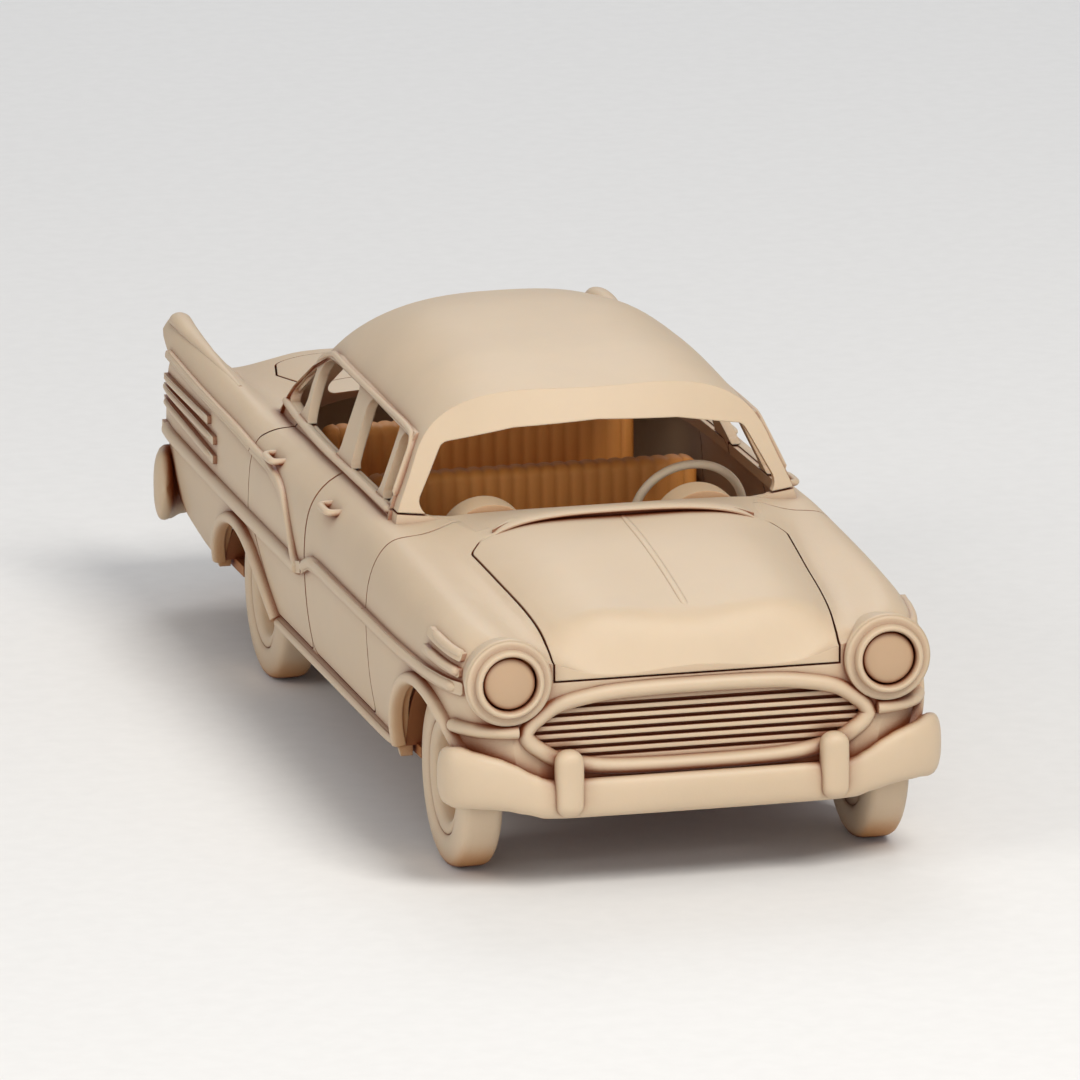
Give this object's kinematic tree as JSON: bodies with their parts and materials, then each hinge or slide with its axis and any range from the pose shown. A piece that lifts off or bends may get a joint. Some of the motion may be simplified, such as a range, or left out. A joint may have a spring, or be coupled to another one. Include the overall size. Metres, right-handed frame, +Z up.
{
  "type": "classic saloon car display model",
  "caption": "Printed display model of a 1950s four-door saloon with tail fins, open windows, a furnished cabin and wheels that turn.",
  "frame": {"origin": "On the ground under the centre of the model's overall box", "axes": "+X to the car's left, +Y to the rear (the car faces -Y), +Z up"},
  "size_m": [0.0768, 0.193, 0.063],
  "materials": {
    "body_resin": "satin",
    "trim_resin": "satin",
    "cabin_resin": "matte",
    "wheel_resin": "satin",
    "tyre_resin": "matte",
    "axle_rod": "matte"
  },
  "bodies": {
    "car": {"axle_front": "axle_rod", "axle_rear": "axle_rod", "body_shell": "body_resin", "bonnet": "body_resin", "boot_lid": "body_resin", "dashboard": "cabin_resin", "door_front_left": "body_resin", "door_front_right": "body_resin", "door_rear_left": "body_resin", "door_rear_right": "body_resin", "floor_pan": "cabin_resin", "front_bench": "cabin_resin", "front_bumper": "trim_resin", "grille_bars": "trim_resin", "grille_ring": "trim_resin", "handle_front_left": "trim_resin", "handle_front_right": "trim_resin", "handle_rear_left": "trim_resin", "handle_rear_right": "trim_resin", "headlamp_lens_left": "trim_resin", "headlamp_lens_right": "trim_resin", "headlamp_ring_left": "trim_resin", "headlamp_ring_right": "trim_resin", "overrider_left": "trim_resin", "overrider_right": "trim_resin", "rear_bench": "cabin_resin", "rear_bumper": "trim_resin", "steering_column": "cabin_resin", "steering_wheel": "cabin_resin"},
    "wheel_body_front_left": {"tyre_front_left": "tyre_resin", "wheel_front_left": "wheel_resin", "hub_cap_front_left": "wheel_resin"},
    "wheel_body_front_right": {"tyre_front_right": "tyre_resin", "wheel_front_right": "wheel_resin", "hub_cap_front_right": "wheel_resin"},
    "wheel_body_rear_left": {"tyre_rear_left": "tyre_resin", "wheel_rear_left": "wheel_resin", "hub_cap_rear_left": "wheel_resin"},
    "wheel_body_rear_right": {"tyre_rear_right": "tyre_resin", "wheel_rear_right": "wheel_resin", "hub_cap_rear_right": "wheel_resin"}
  },
  "joints": [
    {"name": "front_left_wheel_spin", "type": "hinge", "parent": "car", "child": "wheel_body_front_left", "pos_m": [0.0299, -0.0744, 0.0131], "axis": [1, 0, 0], "continuous": true},
    {"name": "front_right_wheel_spin", "type": "hinge", "parent": "car", "child": "wheel_body_front_right", "pos_m": [-0.0299, -0.0744, 0.0131], "axis": [1, 0, 0], "continuous": true},
    {"name": "rear_left_wheel_spin", "type": "hinge", "parent": "car", "child": "wheel_body_rear_left", "pos_m": [0.0299, 0.0381, 0.0131], "axis": [1, 0, 0], "continuous": true},
    {"name": "rear_right_wheel_spin", "type": "hinge", "parent": "car", "child": "wheel_body_rear_right", "pos_m": [-0.0299, 0.0381, 0.0131], "axis": [1, 0, 0], "continuous": true}
  ]
}
